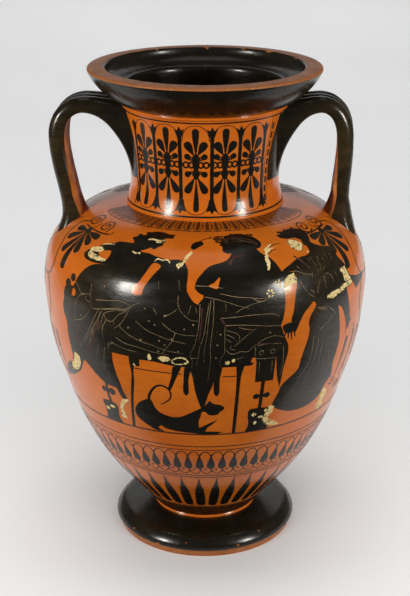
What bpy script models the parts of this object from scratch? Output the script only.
"""Black-figure neck amphora: a hollow, wheel-thrown storage jar with two triple-rolled strap handles.

The pot stands on its foot at the origin, +Z up. The handles lie on the X axis and the main picture
faces -Y. Every size is in millimetres and is turned into metres when the mesh is made. A station is
a radius from the Z axis and a height above the ground.
"""
import math

import bmesh
import bpy
from mathutils import Vector

MM = 0.001

# The thrown walls.
HEIGHT = 410.0
WALL = 5.5
SEGMENTS = 48

# The foot: a low disc with a swelling edge, hollowed a little underneath.
FOOT_RADIUS = 79.5
FOOT_BASE_RADIUS = 78.2
FOOT_EDGE_RADIUS = 79.2
FOOT_EDGE_HEIGHT = 7.0
FOOT_SWELL_HEIGHT = 11.0
FOOT_SWELL_BOW = 2.9
FOOT_TOP_RADIUS = 65.5
FOOT_TOP_HEIGHT = 18.6
REST_RING_RADIUS = 66.0
RECESS_STATIONS = ((0.0, 15.0), (33.0, 13.0), (62.0, 3.6))
FLOOR_HEIGHT = 27.0
FLOOR_RADIUS = 30.0
FLOOR_EDGE_RISE = 0.6
FLOOR_BOW = -3.0

# The half-round moulding where the body meets the foot.
STEM_RADIUS = 47.0
STEM_HEIGHT = 19.5
STEM_RING_RADIUS = 47.2
STEM_RING_LOW = 20.5
STEM_RING_HIGH = 25.0
STEM_RING_BOW = 1.2

# Stations up the ovoid body.
BODY_STATIONS = (
    (47.6, 26.0),
    (60.2, 41.0),
    (86.6, 74.0),
    (106.4, 110.0),
    (121.6, 152.0),
    (131.6, 189.0),
    (136.0, 229.0),
    (134.4, 250.0),
    (128.6, 268.0),
    (117.2, 280.0),
    (103.0, 290.0),
    (86.0, 296.6),
    (68.0, 300.9),
)

# The neck: a raised ring at its base, a slight waist, and a rounded ridge under the mouth.
NECK_RING_LOW = (67.4, 301.2)
NECK_RING_HIGH = (65.6, 304.2)
NECK_RING_BOW = 1.0
NECK_STATIONS = ((64.2, 305.0), (62.2, 322.0), (62.8, 345.0), (66.6, 380.0))
RIDGE_STATIONS = ((67.2, 380.6), (69.4, 383.0), (68.6, 385.6))
BORE_STATIONS = ((60.0, 372.0), (56.9, 340.0), (57.0, 298.0))

# The mouth: an echinus bowl with a flat top and a dish above a ledge inside.
MOUTH_STATIONS = ((69.2, 386.0), (76.5, 388.2), (84.0, 393.0), (91.2, 400.8), (95.1, 407.4))
LIP_STATIONS = ((95.1, 409.5), (92.0, HEIGHT), (81.2, HEIGHT), (80.3, 409.0))
DISH_BOW = -1.4
LEDGE_STATIONS = ((68.0, 399.0), (65.4, 398.0), (63.0, 391.4))

# The handles: paired stations on the outer and the inner line of the strap.
HANDLE_STATIONS = (
    ((59.2, 383.4), (59.2, 316.0)),
    ((67.0, 384.2), (65.8, 343.0)),
    ((78.0, 385.6), (75.0, 361.0)),
    ((89.0, 387.2), (85.0, 371.4)),
    ((99.0, 387.2), (96.0, 375.0)),
    ((109.0, 383.4), (103.6, 372.2)),
    ((118.0, 374.4), (108.0, 366.0)),
    ((123.0, 361.0), (110.0, 357.0)),
    ((123.4, 345.0), (110.2, 344.0)),
    ((121.2, 327.0), (108.2, 328.0)),
    ((118.4, 310.0), (105.6, 313.0)),
    ((117.0, 296.0), (103.6, 301.0)),
    ((118.8, 284.0), (102.2, 293.0)),
    ((125.6, 269.4), (101.6, 286.6)),
)
HANDLE_STEPS = 2
HANDLE_WIDTH = 36.0
HANDLE_ROOT_WIDTH = 42.0
HANDLE_FOOT_WIDTH = 40.0
# Shares of the strap's length over which it widens, and bends to fit, at the neck and the shoulder.
ROOT_SHARE = 0.3
FOOT_SHARE = 0.2

# The strap's three rolls, and the rounded edges of its flatter inner side.
ROLLS = 3
ROLL_STEPS = 3
ROLL_HALF_ANGLE = math.radians(50.0)
INNER_EDGE_RADIUS = 3.6
INNER_EDGE_ANGLES = (math.radians(15.0), math.radians(55.0))
INNER_FACE_PLACES = (0.45, 0.0, -0.45)

# The handles were bent by hand: one leans out a little and one leans in, and both are twisted.
# Name, side of the X axis, lean away from the pot, and twist of the strap about the vertical.
HANDLES = (
    ("handle_left", -1.0, 3.5, math.radians(-3.0)),
    ("handle_right", 1.0, -1.5, math.radians(5.0)),
)

CLAY_COLOUR = (0.55, 0.19, 0.05, 1.0)
CLAY_ROUGHNESS = 0.45
GLOSS_COLOUR = (0.012, 0.012, 0.009, 1.0)
GLOSS_ROUGHNESS = 0.2
SHARP_ANGLE = math.radians(35.0)


def clear_scene():
    """Remove whatever the file holds."""
    for item in list(bpy.data.objects):
        bpy.data.objects.remove(item, do_unlink=True)


def principled(name, colour, roughness):
    """A Principled BSDF material with a plain colour."""
    material = bpy.data.materials.new(name)
    material.use_nodes = True
    shader = material.node_tree.nodes["Principled BSDF"]
    shader.inputs["Base Color"].default_value = colour
    shader.inputs["Roughness"].default_value = roughness
    shader.inputs["Metallic"].default_value = 0.0
    material.diffuse_color = colour
    return material


def vectors(stations):
    """Stations as a list of vectors."""
    return [Vector(station) for station in stations]


def catmull_rom(points, steps):
    """A smooth line through every point, with the given number of steps in each span."""
    ends = [2 * points[0] - points[1]] + list(points) + [2 * points[-1] - points[-2]]
    line = []
    for a, b, c, d in zip(ends, ends[1:], ends[2:], ends[3:]):
        for i in range(steps):
            t = i / steps
            linear = (c - a) * t
            square = (2 * a - 5 * b + 4 * c - d) * t * t
            cube = (3 * b - a - 3 * c + d) * t * t * t
            line.append(0.5 * (2 * b + linear + square + cube))
    line.append(points[-1].copy())
    return line


def bow(start, end, height, steps):
    """Points strictly between start and end on a line that bows out to the right of the chord."""
    chord = end - start
    side = Vector((chord.y, -chord.x)).normalized()
    line = []
    for i in range(1, steps):
        t = i / steps
        line.append(start + chord * t + side * height * math.sin(math.pi * t))
    return line


def offset_inward(line, distance):
    """The line moved towards the axis, square to itself."""
    moved = []
    for i, point in enumerate(line):
        before = line[max(i - 1, 0)]
        after = line[min(i + 1, len(line) - 1)]
        along = (after - before).normalized()
        moved.append(point + Vector((-along.y, along.x)) * distance)
    return moved


def foot_outline():
    """Underside, resting ring, reserved edge and swelling top of the foot."""
    swell = Vector((FOOT_RADIUS, FOOT_SWELL_HEIGHT))
    top = Vector((FOOT_TOP_RADIUS, FOOT_TOP_HEIGHT))
    line = vectors(RECESS_STATIONS)
    line.append(Vector((REST_RING_RADIUS, 0.0)))
    line.append(Vector((FOOT_BASE_RADIUS, 0.0)))
    line.append(Vector((FOOT_EDGE_RADIUS, FOOT_EDGE_HEIGHT)))
    line.append(swell)
    line += bow(swell, top, FOOT_SWELL_BOW, 3)
    line.append(top)
    line.append(Vector((STEM_RADIUS, STEM_HEIGHT)))
    return line


def ring_outline(low, high, height):
    """A half-round moulding between two stations."""
    return [low] + bow(low, high, height, 3) + [high]


def neck_outline():
    """Raised ring, waisted neck and rounded ridge, from the shoulder to the mouth."""
    line = ring_outline(Vector(NECK_RING_LOW), Vector(NECK_RING_HIGH), NECK_RING_BOW)
    line += catmull_rom(vectors(NECK_STATIONS), 2)
    line += vectors(RIDGE_STATIONS)
    return line


def mouth_outline():
    """Echinus wall, flat lip, and the dish and ledge inside the mouth."""
    lip = vectors(LIP_STATIONS)
    ledge = vectors(LEDGE_STATIONS)
    line = catmull_rom(vectors(MOUTH_STATIONS), 2)
    line += lip
    line += bow(lip[-1], ledge[0], DISH_BOW, 3)
    line += ledge
    return line


def inner_outline():
    """The inside, from the neck down to the floor, one wall thickness from the outside."""
    bore = BORE_STATIONS[-1][0]
    floor_edge = Vector((FLOOR_RADIUS, FLOOR_HEIGHT + FLOOR_EDGE_RISE))
    belly = []
    for point in offset_inward(vectors(BODY_STATIONS), WALL):
        above_floor = point.y > FLOOR_HEIGHT + WALL
        beyond_bore = point.x > bore + WALL or point.y < HEIGHT / 2.0
        if above_floor and beyond_bore:
            belly.append(point)
    line = vectors(BORE_STATIONS)
    line += list(reversed(belly))
    line += bow(belly[0], floor_edge, FLOOR_BOW, 2)
    line.append(floor_edge)
    line.append(Vector((0.0, FLOOR_HEIGHT)))
    return line


def pot_profile():
    """The half-section of the thrown pot, from the underside's centre to the floor's centre."""
    stem_low = Vector((STEM_RING_RADIUS, STEM_RING_LOW))
    stem_high = Vector((STEM_RING_RADIUS, STEM_RING_HIGH))
    line = foot_outline()
    line += ring_outline(stem_low, stem_high, STEM_RING_BOW)
    line += catmull_rom(vectors(BODY_STATIONS), 2)
    line += neck_outline()
    line += mouth_outline()
    line += inner_outline()
    return line


def finished(name, mesh_tool, materials):
    """Write a bmesh to a named, smooth-shaded object with its materials."""
    bmesh.ops.recalc_face_normals(mesh_tool, faces=mesh_tool.faces)
    mesh = bpy.data.meshes.new(name)
    mesh_tool.to_mesh(mesh)
    mesh_tool.free()
    mesh.shade_smooth()
    mesh.set_sharp_from_angle(angle=SHARP_ANGLE)
    for material in materials:
        mesh.materials.append(material)
    item = bpy.data.objects.new(name, mesh)
    bpy.context.scene.collection.objects.link(item)
    return item


def turned(name, profile, materials):
    """Spin a half-section about the Z axis into one closed body."""
    mesh_tool = bmesh.new()
    verts = [mesh_tool.verts.new((point.x * MM, 0.0, point.y * MM)) for point in profile]
    edges = [mesh_tool.edges.new(pair) for pair in zip(verts, verts[1:])]
    bmesh.ops.spin(
        mesh_tool,
        geom=verts + edges,
        cent=(0.0, 0.0, 0.0),
        axis=(0.0, 0.0, 1.0),
        angle=2.0 * math.pi,
        steps=SEGMENTS,
        use_merge=True,
    )
    bmesh.ops.remove_doubles(mesh_tool, verts=mesh_tool.verts, dist=0.00001)
    return finished(name, mesh_tool, materials)


def section_places(width, thickness):
    """Places round the strap's section: how far across it, and how deep below its outer line."""
    spread = math.sin(ROLL_HALF_ANGLE)
    roll = width / (2.0 * (spread * (ROLLS - 1) + 1.0))
    places = []
    for k in range(ROLLS):
        centre = (2 * k - ROLLS + 1) * roll * spread
        first = -ROLL_HALF_ANGLE if k > 0 else -math.pi / 2.0
        last = ROLL_HALF_ANGLE if k < ROLLS - 1 else math.pi / 2.0
        for i in range(min(k, 1), ROLL_STEPS + 1):
            angle = first + (last - first) * i / ROLL_STEPS
            places.append((centre + roll * math.sin(angle), roll * (1.0 - math.cos(angle))))
    side = width / 2.0
    edge = []
    for angle in INNER_EDGE_ANGLES:
        across = side - INNER_EDGE_RADIUS * (1.0 - math.cos(angle))
        edge.append((across, thickness - INNER_EDGE_RADIUS * (1.0 - math.sin(angle))))
    places += edge
    places += [(side * share, thickness) for share in INNER_FACE_PLACES]
    places += [(-across, depth) for across, depth in reversed(edge)]
    return places


def strap_section(outer, inner, width, twist, wrap):
    """One cross-section of the strap: rolls along its outer side, a flatter inner side.

    Where wrap is 1 the section bends round the wall that it is luted to, and where it is 0 it is flat.
    """
    inward = (inner - outer).normalized()
    ring = []
    for across, depth in section_places(width, (inner - outer).length):
        point = outer + inward * depth
        flat = Vector((point.x + across * math.sin(twist), across * math.cos(twist), point.y))
        angle = across / point.x
        bent = Vector((point.x * math.cos(angle), point.x * math.sin(angle), point.y))
        ring.append(flat.lerp(bent, wrap))
    return ring


def strap_handle(name, side, lean, twist, material):
    """One luted-on handle, as a guide for the union with the pot."""
    outers = catmull_rom(vectors(outer for outer, _ in HANDLE_STATIONS), HANDLE_STEPS)
    inners = catmull_rom(vectors(inner for _, inner in HANDLE_STATIONS), HANDLE_STEPS)
    mesh_tool = bmesh.new()
    rings = []
    for i, (outer, inner) in enumerate(zip(outers, inners)):
        t = i / (len(outers) - 1)
        middle = math.sin(math.pi * t) ** 2
        root = max(0.0, 1.0 - t / ROOT_SHARE)
        foot = max(0.0, 1.0 - (1.0 - t) / FOOT_SHARE)
        width = HANDLE_WIDTH + (HANDLE_ROOT_WIDTH - HANDLE_WIDTH) * root * root
        width += (HANDLE_FOOT_WIDTH - HANDLE_WIDTH) * foot * foot
        shift = Vector((lean * middle, 0.0))
        section = strap_section(
            outer + shift, inner + shift, width, twist * middle, max(root, foot)
        )
        rings.append(
            [mesh_tool.verts.new((side * p.x * MM, p.y * MM, p.z * MM)) for p in section]
        )
    for low, high in zip(rings, rings[1:]):
        for j in range(len(low)):
            k = (j + 1) % len(low)
            mesh_tool.faces.new((low[j], low[k], high[k], high[j]))
    mesh_tool.faces.new(rings[0])
    mesh_tool.faces.new(list(reversed(rings[-1])))
    handle = finished(name, mesh_tool, [material])
    handle.hide_render = True
    handle.display_type = "WIRE"
    return handle


def paint_black(pot):
    """Black gloss on the foot above its reserved edge and on the echinus of the mouth."""
    mouth_low = MOUTH_STATIONS[0][1]
    mouth_high = MOUTH_STATIONS[-1][1]
    for face in pot.data.polygons:
        radius = math.hypot(face.center.x, face.center.y) / MM
        height = face.center.z / MM
        foot = FOOT_EDGE_HEIGHT < height < STEM_HEIGHT and radius > STEM_RADIUS
        if foot or mouth_low < height < mouth_high:
            face.material_index = 1


def main():
    clear_scene()
    clay = principled("fired_clay", CLAY_COLOUR, CLAY_ROUGHNESS)
    gloss = principled("black_gloss", GLOSS_COLOUR, GLOSS_ROUGHNESS)
    pot = turned("amphora", pot_profile(), [clay, gloss])
    paint_black(pot)
    for name, side, lean, twist in HANDLES:
        handle = strap_handle(name, side, lean, twist, gloss)
        join = pot.modifiers.new(f"join_{name}", "BOOLEAN")
        join.operation = "UNION"
        join.solver = "EXACT"
        join.object = handle
        join.material_mode = "TRANSFER"


main()
